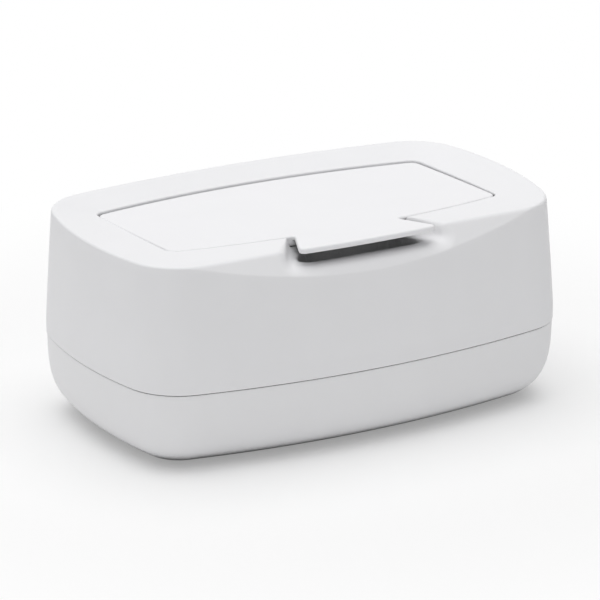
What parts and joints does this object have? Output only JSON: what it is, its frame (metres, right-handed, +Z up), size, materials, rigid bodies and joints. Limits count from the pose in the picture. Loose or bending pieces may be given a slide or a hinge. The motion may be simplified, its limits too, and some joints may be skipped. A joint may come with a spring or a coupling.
{
  "type": "wipes box",
  "caption": "Bowed rectangular box for wet wipes: rounded base tray, upper housing with a dished deck, recessed flip lid with a front tab over a finger scoop.",
  "frame": {"origin": "centre of the foot plane under the box", "axes": "+X along the long axis, +Y towards the rear edge, +Z up; the tab and the finger scoop face -Y"},
  "size_m": [0.225, 0.1408, 0.0969],
  "materials": {
    "base_tray": "fine satin, moulded",
    "upper_housing": "fine satin, moulded",
    "flip_lid": "fine satin, moulded",
    "lid_seal": "soft matt"
  },
  "bodies": {
    "box": {"base_tray": "base_tray", "upper_housing": "upper_housing"},
    "lid": {"flip_lid": "flip_lid", "lid_seal": "lid_seal"}
  },
  "joints": [
    {"name": "lid_hinge", "type": "hinge", "parent": "box", "child": "lid", "pos_m": [0, 0.0335, 0.08936], "axis": [-1, 0, 0], "range_deg": [0, 95]}
  ]
}
